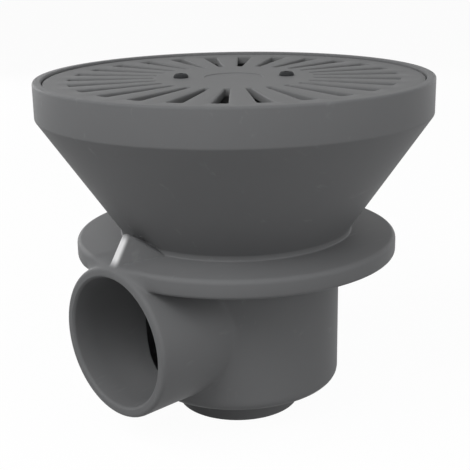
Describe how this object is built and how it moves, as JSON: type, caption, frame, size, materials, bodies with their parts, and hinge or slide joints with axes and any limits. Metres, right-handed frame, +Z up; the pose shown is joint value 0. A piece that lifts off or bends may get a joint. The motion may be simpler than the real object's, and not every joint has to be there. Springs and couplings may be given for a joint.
{
  "type": "pool main drain",
  "caption": "Grey moulded pool main drain: slotted round grate in the rim of a conical hopper, waterstop flange, and a pot with a side socket for a glued pipe and a plugged foot port.",
  "frame": {"origin": "centre of the foot's underside, on the drain's axis", "axes": "+Z up along the drain's axis towards the grate, -Y out of the pipe socket's mouth"},
  "size_m": [0.2, 0.2, 0.1776],
  "materials": {
    "body_plastic": "satin moulded grey",
    "grate_plastic": "satin moulded grey",
    "stainless": "plain stainless",
    "dark_steel": "black coated stainless",
    "brass": "turned",
    "plug_plastic": "satin moulded grey",
    "seal_rubber": "matt black"
  },
  "bodies": {
    "root": {"drain_body": "body_plastic", "grate": "grate_plastic", "grate_screws": "dark_steel", "bridge_bar": "grate_plastic", "bar_inserts": "brass", "bridge_screws": "stainless", "post_inserts": "brass", "port_plug": "plug_plastic", "plug_seal": "seal_rubber"}
  },
  "joints": []
}
